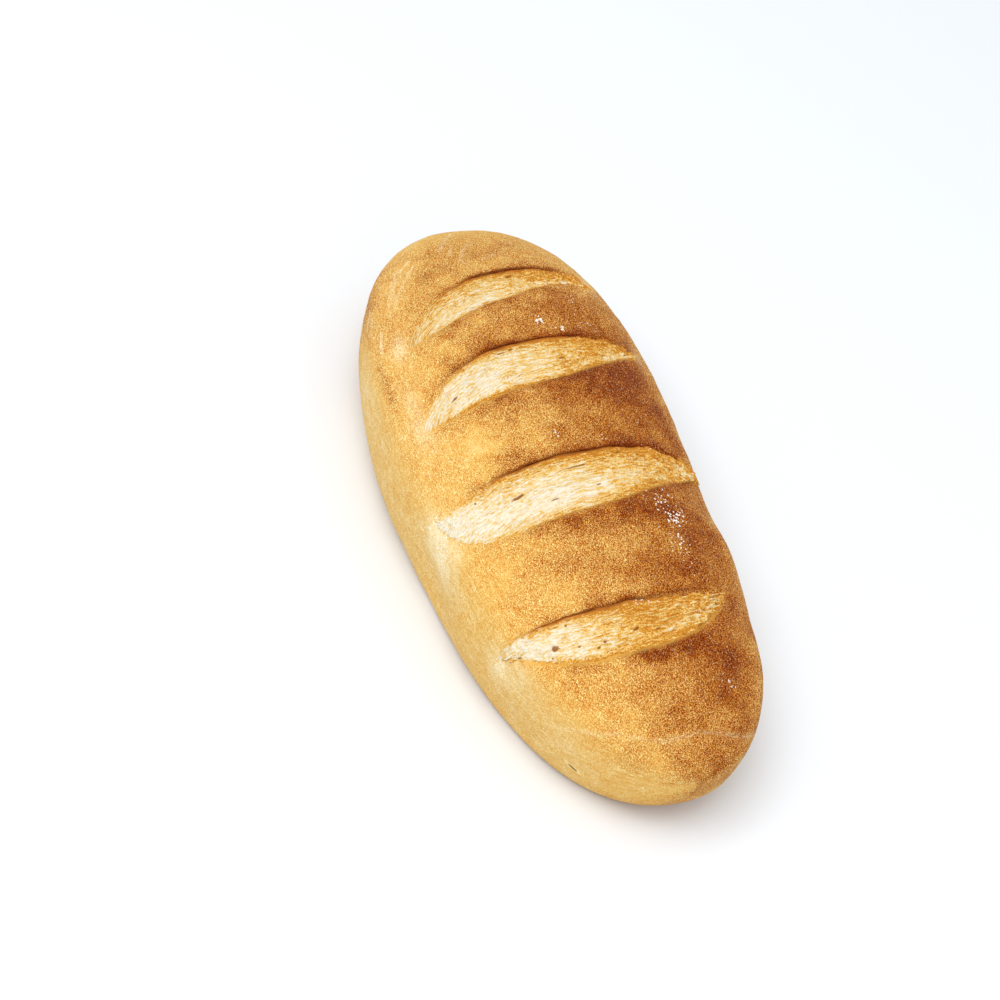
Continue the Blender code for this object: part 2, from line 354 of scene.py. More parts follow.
# How browned the crust is by angle, in the middle of the loaf and at its two ends
BROWN_BY_ANGLE = (
    (-90, 0.45), (-40, 0.3), (-15, 0.35), (5, 0.45), (25, 0.56), (35, 0.66), (45, 0.76), (60, 0.77),
    (72, 0.74), (85, 0.62), (95, 0.52), (105, 0.47), (115, 0.39), (125, 0.34), (135, 0.3), (150, 0.27),
    (165, 0.22), (178, 0.17), (190, 0.14), (235, 0.12), (270, 0.45),
)
FAR_BROWN = (
    (-90, 0.4), (20, 0.3), (35, 0.3), (48, 0.3), (62, 0.36), (115, 0.39), (130, 0.28), (150, 0.34),
    (168, 0.42), (190, 0.3), (270, 0.4),
)
NEAR_BROWN = (
    (-90, 0.4), (10, 0.4), (25, 0.48), (40, 0.6), (65, 0.68), (80, 0.6), (115, 0.5), (128, 0.4),
    (160, 0.34), (180, 0.27), (200, 0.18), (270, 0.4),
)

# Browner patches of crust, and paler ones where the amount is below 0
BROWN_PATCHES = (
    Patch(-52, 159, 6, 5, 0.22), Patch(-40, 157, 8, 4, 0.2), Patch(-20, 72, 12, 13, 0.26),
    Patch(-25, 54, 8, 10, 0.16), Patch(-17, 100, 6, 7, 0.12), Patch(-20, 88, 9, 6, 0.1),
    Patch(42, 80, 7, 12, 0.28), Patch(36, 101, 6, 6, 0.14), Patch(42, 62, 7, 7, 0.14),
    Patch(99, 96, 4.5, 8, 0.4), Patch(99, 84, 5, 9, 0.25), Patch(108, 62, 9, 10, 0.06),
    Patch(0, 119, 12, 14, -0.16), Patch(8, 110, 5, 8, 0.16), Patch(45, 101, 6, 8, 0.14),
    Patch(72, 112, 9, 12, -0.04), Patch(-56, 118, 5, 9, 0.06), Patch(-50, 100, 7, 12, 0.1),
    Patch(-42, 118, 4, 9, 0.16), Patch(-90, 120, 7, 10, 0.1), Patch(-12, 40, 10, 8, 0.06),
    Patch(-60, 183, 20, 10, -0.12), Patch(-98, 172, 11, 11, 0.1), Patch(-12, 163, 9, 6, 0.1),
    Patch(30, 172, 15, 18, -0.16), Patch(84, 180, 10, 10, -0.12), Patch(100, 140, 8, 14, 0.1),
)
# Floury smears
PALE_PATCHES = (
    Patch(23, 170, 6, 9, 0.95), Patch(30, 179, 9, 9, 0.95), Patch(36, 164, 5, 6, 0.6),
    Patch(-59, 141, 6, 5, 0.55), Patch(-30, 144, 7, 4, 0.32), Patch(-16, 145, 8, 6, 0.36),
    Patch(79, 183, 5, 6, 0.7), Patch(88, 172, 10, 8, 0.28), Patch(108, 186, 16, 10, 0.12),
    Patch(-86, 38, 7, 5, 0.4), Patch(-42, 35, 7, 5, 0.32),
)


@dataclass(frozen=True)
class Stroke:
    """A pale mark drawn on the crust through points of x and angle, and how much it stands up."""
    points: tuple
    half_width: float
    amount: float
    rise: float = 0.1


STROKES = (
    Stroke(((-80, 142), (-88, 138), (-98, 132), (-106, 126)), 0.55, 0.55, 0.12),
    Stroke(((-84, 145), (-92, 141), (-103, 135)), 0.4, 0.45),
    Stroke(((-92, 143), (-107, 135), (-111, 130)), 0.6, 0.55, 0.12),
    Stroke(((-97, 144), (-108, 139)), 0.4, 0.45),
    Stroke(((-113, 109), (-122, 104), (-130, 99)), 0.7, 0.42, 0.2),
    Stroke(((-100, 98), (-104, 99), (-111, 96), (-116, 92)), 0.5, 0.42, 0.15),
    Stroke(((-108, 104), (-116, 101)), 0.45, 0.35),
    Stroke(((-102, 90), (-105, 86)), 0.5, 0.4),
    Stroke(((-93, 165), (-81, 168)), 0.5, 0.65),
    Stroke(((-84, 160), (-74, 162)), 0.4, 0.5),
    Stroke(((-72, 152), (-62, 154)), 0.6, 0.7),
    Stroke(((-57, 144), (-60, 139)), 0.9, 0.6, 0.12),
    Stroke(((-25, 174), (-21, 175)), 0.45, 0.75),
    Stroke(((4, 186), (7.5, 186)), 0.6, 0.8),
    Stroke(((103, 186), (112, 178), (119.5, 161), (122, 142)), 0.6, 0.45, 0.12),
    Stroke(((124, 139), (127, 126), (129, 114), (128.7, 100), (128.5, 88)), 0.5, 0.5, 0.16),
    Stroke(((128.5, 88), (130, 60), (130.3, 35), (128, 20)), 0.5, 0.4, 0.12),
    Stroke(((-57, 125), (-52, 121)), 0.5, 0.5),
)
CRACK = ((-13.5, 101), (-11.5, 104.5), (-8.5, 106), (-6.5, 103))  # a thin curved line
SLIT_MIDDLE = (115.2, 204.0)  # a small hole low on the near end, by x and angle
SLIT_END = (117.2, 206.0)
SLIT_HALF_SIZES = Vector((2.4, 0.65, 4.0))


def by_angle(table, angle):
    """Amounts read from a table of pairs of angle and amount."""
    angles, amounts = zip(*table)
    return np.interp(angle, angles, amounts)


def browning(x, angle, points):
    """How browned the crust is, from 0 for pale to 1 for dark."""
    amount = by_angle(BROWN_BY_ANGLE, angle)
    amount += (by_angle(FAR_BROWN, angle) - amount) * smooth_step((-62.0 - x) / 34.0)
    amount -= 0.16 * smooth_step((-114.0 - x) / 20.0)
    amount += (by_angle(NEAR_BROWN, angle) - amount) * smooth_step((x - 112.0) / 18.0)
    spots = patch_sum(BROWN_PATCHES, x, angle)
    amount += spots * (1.0 + 0.9 * ripple(points, 4.5, 17.0))
    for cut in CUTS:
        upper, lower = cut_edges(cut, angle)
        depth = cut_depth(cut, angle)
        behind = np.maximum(upper - x, 0.0)
        beyond = np.maximum(x - lower, 0.0)
        patchy = 0.12 * (1.0 + 1.2 * ripple(points, 7.0, 19.0))
        sunny = smooth_step((155.0 - angle) / 40.0)
        amount += 1.7 * patchy * bell(behind / 2.6) * (x <= upper) * depth * sunny
        amount += patchy * bell((beyond - 2.6) / 3.4) * (x > lower) * depth * sunny
    crack = stroke_distance(CRACK, points)
    amount += 0.4 * bell(crack / 0.8)
    unevenness = 0.12 * ripple(points, 22.0, 11.0) + 0.15 * ripple(points, 9.0, 13.0)
    unevenness += 0.1 * ripple(points, 5.0, 23.0)
    amount += unevenness * (0.4 + 0.6 * smooth_step((amount - 0.25) / 0.2))
    return np.clip(amount, 0.0, 1.0)


def stroke_distance(line, points):
    """How far each point is from a line drawn on the crust through places of x and angle."""
    places = np.array(line, dtype=float)
    share = np.linspace(0.0, len(places) - 1.0, 8 * len(places))
    number = np.arange(len(places))
    path = skin(np.interp(share, number, places[:, 0]), np.interp(share, number, places[:, 1]))
    nearest = np.full(points.shape[:-1], 99.0)
    for spot in path:
        nearest = np.minimum(nearest, np.linalg.norm(points - spot, axis=-1))
    return np.maximum(nearest - 0.3, 0.0)


def broken_line(stroke, points, wear):
    """How strongly a stroke shows: 1 along its middle where it is not worn away."""
    away = stroke_distance(stroke.points, points) / stroke.half_width
    return bell(away + np.clip(1.6 * wear, 0.0, 2.0))


def lip_char(x, angle):
    """The dark baked line on the edge of each far lip."""
    amount = np.zeros(np.broadcast(x, angle).shape)
    for cut in CUTS:
        upper, lower = cut_edges(cut, angle)
        depth = cut_depth(cut, angle)
        near_edge = bell((x - upper) / 0.6)
        inside = (x > upper - 1.6) & (x < (upper + lower) / 2.0)
        sunny = smooth_step((142.0 - angle) / 34.0)
        places = np.stack(np.broadcast_arrays(angle, cut.number * 11.0, 0.0), axis=-1)
        patchy = np.clip(0.75 + 0.9 * ripple(places, 9.0, 29.0), 0.0, 1.0)
        amount = np.maximum(amount, np.where(inside, near_edge, 0.0) * depth * sunny * patchy)
    return amount


def rim_gold(x, angle):
    """The golden edge where the near crust turns down into a cut."""
    amount = np.zeros(np.broadcast(x, angle).shape)
    for cut in CUTS:
        lower = cut_edges(cut, angle)[1]
        line = smooth_step((lower + 2.0 - x) / 1.6) * (x > lower - 3.0)
        amount = np.maximum(amount, line * cut_depth(cut, angle) ** 0.5)
    return amount


def stroke_wear(points):
    """Where the drawn marks are worn away: they are whole where this is below 0."""
    return ripple(points, 1.7, 31.0)


def pale_marks(x, angle, points):
    """Floury smears at the cuts' tips, stretch marks, the near end's crease and a faint bloom."""
    amount = patch_sum(PALE_PATCHES, x, angle)
    wear = stroke_wear(points)
    for stroke in STROKES:
        amount = np.maximum(amount, 0.85 * stroke.amount * broken_line(stroke, points, wear))
    bloom = smooth_step((angle - 118.0) / 30.0) * smooth_step((60.0 - x) / 60.0)
    return np.clip(amount + 0.04 * bloom, 0.0, 1.0)


# -------- meshes

UNROLLED_DEGREE = 0.87  # how long a degree is on the unrolled crust
UNDERSIDE_TOP = 3.5  # the underside's colour ends at this height
UNDERSIDE_FADE = 3.0
FLANK_START = 112.0  # the -Y flank lies between these angles
FLANK_END = 225.0
FLANK_FADE = 30.0
POLE_BROWNING = (0.42, 0.55)


def add_to_scene(name, data):
    """A new object in the scene, of this mesh, lamp or camera."""
    thing = bpy.data.objects.new(name, data)
    bpy.context.scene.collection.objects.link(thing)
    return thing


def make_object(name, vertices, faces, material, fields=None):
    """A smooth mesh from millimetre points, with fields of numbers or vectors at its points.

    A field may leave out the last points, and is 0 there.
    """
    data = bpy.data.meshes.new(name)
    placed = (np.asarray(vertices) + OFFSET) * MM
    data.from_pydata(placed.tolist(), [], faces)
    for key, values in (fields or {}).items():
        kind, slot, width = ("FLOAT_VECTOR", "vector", 3) if values.ndim == 3 else ("FLOAT", "value", 1)
        stored = np.zeros((len(vertices), width), dtype=np.float32)
        given = values.reshape(-1, width)
        stored[:len(given)] = given
        data.attributes.new(key, kind, "POINT").data.foreach_set(slot, stored.ravel())
    data.validate()
    data.shade_smooth()
    data.materials.append(material)
    return add_to_scene(name, data)


def crust_points(x, relief, angle):
    """The crust's points with its fine unevenness and marks."""
    base = skin(x, angle)
    lumps = 0.5 * ripple(base, 36.0, 2.0) + 0.26 * ripple(base, 13.0, 4.0)
    grain = 0.1 * ripple(base, 4.2, 6.0) + 0.06 * ripple(base, 1.9, 8.0)
    height = relief + (lumps + grain) * above_base(base)
    wear = stroke_wear(base)
    for stroke in STROKES:
        height = height + stroke.rise * broken_line(stroke, base, wear)
    height = height - 0.3 * bell(stroke_distance(CRACK, base) / 0.7)
    height = height - dent_depth(x, angle)
    return base + skin_normals(x, angle) * height[..., None]


def slit_space():
    """The small hole's place and turn: its own x runs along it and its z points out."""
    middle = skin(*SLIT_MIDDLE)
    outward = Vector(skin_normals(*SLIT_MIDDLE))
    along = Vector(skin(*SLIT_END) - middle).normalized()
    across = outward.cross(along).normalized()
    turn = Matrix((along, across, outward)).transposed().to_euler()
    return Vector(middle + OFFSET) * MM, turn


def crust_faces(count, columns):
    """Faces of the crust: rows of points right round it, closed by a pole at each end."""
    far_pole = count * columns
    near_pole = far_pole + 1
    last = (count - 1) * columns
    faces = []
    for row in range(count - 1):
        for column in range(columns):
            side = (column + 1) % columns
            first = row * columns
            faces.append((first + column, first + side, first + columns + side, first + columns + column))
    for column in range(columns):
        side = (column + 1) % columns
        faces.append((side, column, far_pole))
        faces.append((last + column, last + side, near_pole))
    return faces


def crust_fields(x, angle, points):
    """The numbers that the crust's material reads at each point."""
    flank = smooth_step((angle - FLANK_START) / FLANK_FADE) * smooth_step((FLANK_END - angle) / FLANK_FADE)
    return {
        "browning": np.append(browning(x, angle, points), POLE_BROWNING),
        "lip": lip_char(x, angle),
        "rim": rim_gold(x, angle),
        "pale": pale_marks(x, angle, points),
        "below": smooth_step((UNDERSIDE_TOP - points[..., 2]) / UNDERSIDE_FADE),
        "flank": flank,
        "unrolled": np.stack((x, angle * UNROLLED_DEGREE, np.zeros(x.shape)), axis=-1),
    }


def build_crust(material):
    """The whole crust, also under the torn crumb: rows go round the loaf and columns along it."""
    angle = column_angles()[None, :]
    rows = crust_rows(angle[0])
    x = np.array([row[0] for row in rows])
    relief = np.array([row[1] for row in rows])
    points = crust_points(x, relief, angle)
    poles = skin(np.array([-HALF_LENGTH, HALF_LENGTH]), np.array([0.0, 0.0]))
    vertices = np.concatenate((points.reshape(-1, 3), poles))
    fields = crust_fields(x, np.broadcast_to(angle, x.shape), points)
    return make_object("crust", vertices, crust_faces(*x.shape), material, fields)


# -------- the torn crumb

PAD_STEP_ALONG = 0.34
PAD_STEP_ACROSS = 0.28
PAD_TUCK = 1.2  # the crumb goes this far under both edges
PAD_BOTTOM = -6.5
PORE_DEPTH = 0.6
PORE_SURROUNDINGS = 6.0  # a pore's uneven outline is worked out within this distance


@dataclass(frozen=True)
class Pore:
    """An air hole in a cut's crumb: its place as shares of the cut, and its half sizes."""
    along: float
    across: float
    half_along: float
    half_across: float


PORES = {
    1: (Pore(0.51, 0.24, 1.7, 0.7), Pore(0.33, 0.62, 0.6, 0.4)),
    2: (Pore(0.43, 0.12, 1.5, 0.6), Pore(0.46, 0.1, 0.9, 0.5), Pore(0.58, 0.56, 1.6, 0.7),
        Pore(0.21, 0.58, 2.0, 0.6), Pore(0.76, 0.7, 1.4, 0.4)),
    3: (Pore(0.52, 0.25, 2.0, 0.6), Pore(0.35, 0.44, 2.6, 0.8), Pore(0.54, 0.69, 0.7, 0.35),
        Pore(0.57, 0.72, 0.5, 0.3), Pore(0.21, 0.19, 0.6, 0.4), Pore(0.63, 0.11, 0.9, 0.4),
        Pore(0.44, 0.72, 1.8, 0.35), Pore(0.24, 0.11, 0.5, 0.3)),
    4: (Pore(0.32, 0.6, 2.2, 1.1), Pore(0.52, 0.69, 1.1, 0.7), Pore(0.49, 0.76, 1.0, 0.5),
        Pore(0.42, 0.66, 0.8, 0.5), Pore(0.64, 0.6, 1.0, 0.6), Pore(0.69, 0.68, 0.6, 0.4),
        Pore(0.28, 0.84, 0.6, 0.4), Pore(0.11, 0.88, 1.5, 0.5), Pore(0.42, 0.15, 0.7, 0.4)),
}


@dataclass(frozen=True)
class Fold:
    """A torn ledge that runs along a cut: from one share to another, with a height in mm."""
    start_along: float
    end_along: float
    start_across: float
    middle_across: float
    end_across: float
    rise: float
    fall_width: float


FOLDS = {
    1: (Fold(0.02, 0.6, 0.5, 0.62, 0.9, 0.5, 4.0),),
    2: (Fold(0.15, 0.85, 0.86, 0.86, 0.74, 0.55, 1.0), Fold(0.5, 1.0, 0.3, 0.4, 0.6, 0.5, 3.0)),
    3: (Fold(0.2, 0.85, 0.5, 0.56, 0.86, 1.3, 7.0), Fold(0.45, 0.95, 0.3, 0.28, 0.5, 0.6, 3.0)),
    4: (Fold(0.2, 0.6, 0.28, 0.42, 0.5, 0.5, 3.0), Fold(0.5, 0.95, 0.3, 0.35, 0.6, 0.6, 2.5)),
}

# More golden places in each cut's crumb, and whiter ones where the amount is below 0
TINTS = {
    1: (Patch(0.66, 0.85, 0.3, 0.16, -0.35), Patch(0.25, 0.8, 0.2, 0.3, -0.15),
        Patch(0.35, 0.2, 0.3, 0.3, 0.12)),
    2: (Patch(0.22, 0.5, 0.2, 0.4, -0.25), Patch(0.78, 0.3, 0.2, 0.35, 0.2),
        Patch(0.86, 0.8, 0.14, 0.22, -0.4), Patch(0.3, 0.97, 0.25, 0.06, 0.5),
        Patch(0.45, 0.88, 0.35, 0.04, -0.25)),
    3: (Patch(0.45, 0.68, 0.25, 0.15, -0.3), Patch(0.08, 0.5, 0.1, 0.6, -0.4),
        Patch(0.72, 0.15, 0.18, 0.2, 0.3), Patch(0.4, 0.12, 0.3, 0.14, 0.2),
        Patch(0.6, 0.92, 0.3, 0.06, 0.3), Patch(0.9, 0.86, 0.08, 0.16, -0.4)),
    4: (Patch(0.2, 0.5, 0.2, 0.4, -0.3), Patch(0.74, 0.4, 0.16, 0.5, 0.08),
        Patch(0.8, 0.72, 0.12, 0.12, -0.4), Patch(0.88, 0.3, 0.1, 0.2, -0.2),
        Patch(0.35, 0.97, 0.3, 0.07, 0.5), Patch(0.75, 0.94, 0.2, 0.09, 0.35)),
}


def crumb_profile(across):
    """The torn surface's height from the far lip (0) to the near crust (1)."""
    height = -0.95 + 0.4 * smooth_step((across + 0.04) / 0.32)
    return height - 0.4 * smooth_step((across - 0.55) / 0.4)


def pore_depth(cut, along, across, length, gap):
    """How far each point lies in a pore: 1 at its bottom and 0 outside it."""
    depth = np.zeros(along.shape)
    for pore in PORES[cut.number]:
        run = (along - pore.along) * length
        rise = (across - pore.across) * gap
        places = np.stack((run, rise, np.full(run.shape, pore.along * 50.0)), axis=-1)
        near = np.hypot(run, rise) < PORE_SURROUNDINGS
        bent = np.zeros(run.shape)
        bent[near] = 0.9 * ripple(places[near], 1.3, 0.3)
        reach = (run / pore.half_along) ** 2 + ((rise + 0.15 * run) / pore.half_across) ** 2
        depth = np.maximum(depth, np.exp(-(reach * np.exp(bent)) ** 1.3))
    return depth


def fold_height(cut, along, across, gap):
    """How far the torn ledges stand up: steep on the far lip's side and falling off beyond."""
    height = np.zeros(along.shape)
    for fold in FOLDS[cut.number]:
        share = np.clip((along - fold.start_along) / (fold.end_along - fold.start_along), 0.0, 1.0)
        line = (fold.start_across * (1.0 - share) ** 2 + fold.end_across * share ** 2
                + 2.0 * (2.0 * fold.middle_across - (fold.start_across + fold.end_across) / 2.0)
                * share * (1.0 - share))
        wander = 0.03 * np.sin(along * 31.0 + fold.rise * 9.0)
        distance = (across - line - wander) * gap
        step = smooth_step(distance / 0.9 + 0.5) * np.exp(-np.maximum(distance, 0.0) / fold.fall_width)
        window = np.sin(np.pi * share) ** 0.6
        height += fold.rise * step * window
    return height


def torn_layers(level):
    """Overlapping torn layers: a slow rise and then a sharp ledge for each whole step of level."""
    share = level - np.floor(level)
    return 0.5 - share + smooth_step((share - 0.82) / 0.18)


def crumb_patterns(clump):
    """The patterns of torn crumb, by places along and across a cut and a number of its own."""
    run, rise, own = np.moveaxis(clump, -1, 0)
    drift = 1.3 * ripple(clump, 9.0, 8.5) + 0.5 * ripple(clump, 3.0, 1.5)
    slanted = np.stack((run / 9.0, (rise + 0.06 * run + drift) / 1.1, own + 5.0), axis=-1)
    thin = np.stack((run / 3.2, (rise + 0.08 * run + drift) / 0.6, own + 9.0), axis=-1)
    broad = np.stack((run / 16.0, (rise + drift) / 3.4, own + 2.0), axis=-1)
    return {
        "strands": 1.0 - 2.0 * np.abs(ripple(slanted, 1.0, 0.5)),
        "threads": ripple(thin, 1.0, 2.5),
        "layers": torn_layers(3.2 * ripple(broad, 1.0, 6.5)),
        "fluff": ripple(clump, 1.3, 7.5),
        "lumps": ripple(clump, 5.5, 4.5),
    }


def crumb_roughness(along):
    """How much rougher the crumb is than in the cut's middle: it grows towards the +Y tip."""
    return 1.0 + 0.9 * smooth_step((along - 0.62) / 0.25)


def crumb_height(cut, along, across, gap, depth, torn, pores):
    """How high the torn crumb stands on the envelope."""
    inside = smooth_step(np.minimum(along, 1.0 - along) / 0.05)
    height = depth * crumb_profile(across) + fold_height(cut, along, across, gap) * depth
    uneven = 0.45 * (torn["strands"] - 0.6) + 0.26 * torn["threads"] + 0.3 * torn["fluff"]
    height += (uneven + 0.45 * torn["lumps"]) * inside * crumb_roughness(along)
    height += 0.42 * torn["layers"] * inside
    return height - (PORE_DEPTH * pores + 0.25 * (1.0 - inside))


def crumb_toast(cut, along, across, rise, torn):
    """How golden the crumb is, from 0 for white to 1 for brown."""
    toasted = cut.toast + 0.4 * smooth_step((0.3 - across) / 0.36)
    toasted += 0.5 * smooth_step((along - 0.42) / 0.3) + patch_sum(TINTS[cut.number], along, across)
    toasted += 0.25 * smooth_step((across - 0.92) / 0.08) + 0.3 * bell(rise / 1.4)
    toasted += 0.2 * torn["lumps"] - 0.2 * torn["layers"] + 0.35 * smooth_step((along - 0.94) / 0.06)
    ragged = 0.5 * (crumb_roughness(along) - 1.0) * (torn["threads"] + torn["fluff"])
    return np.clip(toasted - ragged, 0.0, 1.0)


def cut_length(cut):
    """How long a cut is, measured round the envelope halfway between its tips' x."""
    angle = np.linspace(cut.left_angle, cut.right_angle, 200)
    middle_line = skin(np.full_like(angle, (cut.left_x + cut.right_x) / 2.0), angle)
    return float(np.linalg.norm(np.diff(middle_line, axis=0), axis=1).sum())


def build_crumb(cut, material):
    """One cut's torn crumb: a closed pad whose top shows between the cut's two edges."""
    length = cut_length(cut)
    along_count = int(length / PAD_STEP_ALONG)
    share = np.linspace(0.0, 1.0, along_count)[:, None]
    angle = cut.left_angle + (cut.right_angle - cut.left_angle) * share
    upper, lower = cut_edges(cut, angle)
    gap = lower - upper
    across_count = int((gap.max() + 2.0 * PAD_TUCK) / PAD_STEP_ACROSS)
    tuck = PAD_TUCK / gap
    across = -tuck + (1.0 + 2.0 * tuck) * np.linspace(0.0, 1.0, across_count)[None, :]
    x = upper + across * gap
    along = np.broadcast_to(share, x.shape)
    wide_angle = np.broadcast_to(angle, x.shape)
    rise = across * gap
    clump = np.stack((along * length, rise, np.full(x.shape, 3.0 * cut.number)), axis=-1)
    torn = crumb_patterns(clump)
    pores = pore_depth(cut, along, across, length, gap)
    depth = cut_depth(cut, wide_angle)
    height = crumb_height(cut, along, across, gap, depth, torn, pores)
    points = skin(x, wide_angle) + skin_normals(x, wide_angle) * height[..., None]
    edge_sides = (x[:, 0], x[:, -1])
    floors = [skin(side, angle[:, 0]) + skin_normals(side, angle[:, 0]) * PAD_BOTTOM for side in edge_sides]
    vertices = np.concatenate((points.reshape(-1, 3), floors[0], floors[1]))
    fields = {
        "toast": crumb_toast(cut, along, across, rise, torn),
        # low in the hollows between the crumb's strands, where the material paints golden streaks and
        # painted shade
        "strand": np.clip(0.5 * torn["strands"] + 0.3 * torn["threads"] + 0.5, 0.0, 1.0),
        "pore": pores,
        # where the crumb meets the far lip: the material paints toast and painted shade from the overhang
        # there
        "under": bell(np.maximum(rise - 0.2, 0.0) / 0.7) * depth,
        "fibre": clump,
    }
    return make_object(f"crumb_{cut.number}", vertices, pad_faces(*x.shape), material, fields)


def pad_faces(along_count, across_count):
    """Faces of a pad: its top grid, two side walls, a floor and two end caps."""
    faces = []
    for row in range(along_count - 1):
        for column in range(across_count - 1):
            first = row * across_count + column
            faces.append((first, first + across_count, first + across_count + 1, first + 1))
    left_floor = along_count * across_count
    right_floor = left_floor + along_count
    for row in range(along_count - 1):
        left = row * across_count
        right = left + across_count - 1
        faces.append((left, left_floor + row, left_floor + row + 1, left + across_count))
        faces.append((right, right + across_count, right_floor + row + 1, right_floor + row))
        faces.append((left_floor + row, right_floor + row, right_floor + row + 1, left_floor + row + 1))
    first_row = list(range(across_count))
    last_row = [(along_count - 1) * across_count + column for column in range(across_count)]
    faces.append(tuple(first_row + [right_floor, left_floor]))
    faces.append(tuple(last_row[::-1] + [left_floor + along_count - 1, right_floor + along_count - 1]))
    return faces


# -------- flour

@dataclass(frozen=True)
class Dusting:
    """Flour grains round a place of x and angle: how many, how far they spread and their size."""
    x: float
    angle: float
    count: int
    reach_x: float
    reach_angle: float
    size: float


DUSTINGS = (
    Dusting(36, 66, 30, 4.0, 5.0, 0.42), Dusting(45, 64, 44, 4.5, 4.5, 0.5),
    Dusting(55, 67, 24, 4.5, 5.0, 0.42), Dusting(66, 66, 8, 4.0, 3.0, 0.36),
    Dusting(-58.5, 83, 16, 1.6, 1.6, 0.6), Dusting(-52.8, 76, 9, 1.4, 1.4, 0.55),
    Dusting(5, 79, 4, 1.2, 1.2, 0.5), Dusting(1, 92, 5, 1.4, 1.6, 0.45),
    Dusting(79, 91, 14, 1.6, 3.5, 0.45), Dusting(-34, 102, 10, 1.2, 1.4, 0.55),
    Dusting(-29.5, 98, 10, 1.2, 1.4, 0.5), Dusting(112, 62, 10, 2.5, 3.0, 0.34),
    Dusting(24, 166, 60, 5.0, 7.0, 0.4), Dusting(28, 155, 50, 6.0, 8.0, 0.36),
    Dusting(30, 176, 50, 7.0, 7.0, 0.4), Dusting(78, 181, 24, 3.0, 4.0, 0.34),
    Dusting(-72, 63, 9, 3.0, 2.5, 0.3), Dusting(-56.5, 63, 12, 4.0, 3.5, 0.28),
    Dusting(85, 69, 14, 3.5, 4.5, 0.3), Dusting(20, 62, 70, 60.0, 11.0, 0.2),
    Dusting(0, 100, 60, 75.0, 28.0, 0.17), Dusting(-20, 150, 40, 70.0, 16.0, 0.18),
)
FLOUR_SEED = 7
FLOUR_END = 130.0  # no grain lies nearer the loaf's ends than this x
GRAIN_SPREAD = 0.6  # the grains' usual distance, as a share of a dusting's reach
GRAIN_TURN = 6.3  # in radians
GRAIN_FLATNESS = 0.6
GRAIN_DROP = 10.0  # grains fall from this far above the envelope
GRAIN_SHAPE = ((1, 0, 0), (-1, 0, 0), (0, 1, 0), (0, -1, 0), (0, 0, 1), (0, 0, -1))
GRAIN_FACES = ((0, 2, 4), (2, 1, 4), (1, 3, 4), (3, 0, 4), (2, 0, 5), (1, 2, 5), (3, 1, 5), (0, 3, 5))


def surface_tree(surface):
    points = [vertex.co.copy() for vertex in surface.data.vertices]
    return BVHTree.FromPolygons(points, [face.vertices[:] for face in surface.data.polygons])


def resting_spot(trees, x, angle, outward):
    """Where a grain that falls straight onto the loaf first meets a surface, or None."""
    drop = GRAIN_DROP * MM
    above = Vector(skin(x, angle) + OFFSET) * MM + outward * drop
    casts = [tree.ray_cast(above, -outward, 2.0 * drop) for tree in trees]
    hits = [(distance, spot) for spot, _, _, distance in casts if spot is not None]
    return min(hits, key=lambda hit: hit[0])[1] if hits else None


def grain_corners(chance, spot, outward, usual_size):
    """The corners of one uneven grain that lies on a spot."""
    size = usual_size * chance.uniform(0.5, 1.3)
    turn = Matrix.Rotation(chance.uniform(0.0, GRAIN_TURN), 3, outward)
    lean = outward.to_track_quat("Z", "Y").to_matrix()
    corners = []
    for corner in GRAIN_SHAPE:
        stretch = Vector([part * size * chance.uniform(0.55, 1.3) for part in corner])
        stretch.z *= GRAIN_FLATNESS
        corners.append(spot / MM - Vector(OFFSET) + turn @ lean @ stretch)
    return corners


def build_flour(surfaces, material):
    """Small uneven grains that rest on the crust and the crumb."""
    chance = random.Random(FLOUR_SEED)
    trees = [surface_tree(surface) for surface in surfaces]
    vertices = []
    faces = []
    for dusting in DUSTINGS:
        for _ in range(dusting.count):
            x = dusting.x + chance.gauss(0.0, GRAIN_SPREAD) * dusting.reach_x
            angle = dusting.angle + chance.gauss(0.0, GRAIN_SPREAD) * dusting.reach_angle
            if abs(x) > FLOUR_END:
                continue
            outward = Vector(skin_normals(x, angle))
            spot = resting_spot(trees, x, angle, outward)
            if spot is None:
                continue
            faces += [tuple(len(vertices) + corner for corner in face) for face in GRAIN_FACES]
            vertices += grain_corners(chance, spot, outward, dusting.size)
    return make_object("flour", vertices, faces, material)


# -------- materials

def linear(screen_colour):
    """A colour for a socket from its 0 to 255 screen values."""
    def channel(share):
        return share / 12.92 if share <= 0.04045 else ((share + 0.055) / 1.055) ** 2.4
    return [channel(value / 255.0) for value in screen_colour] + [1.0]


MIX_FIRST = 6  # the Mix node's sockets for colours
MIX_SECOND = 7
MIX_RESULT = 2


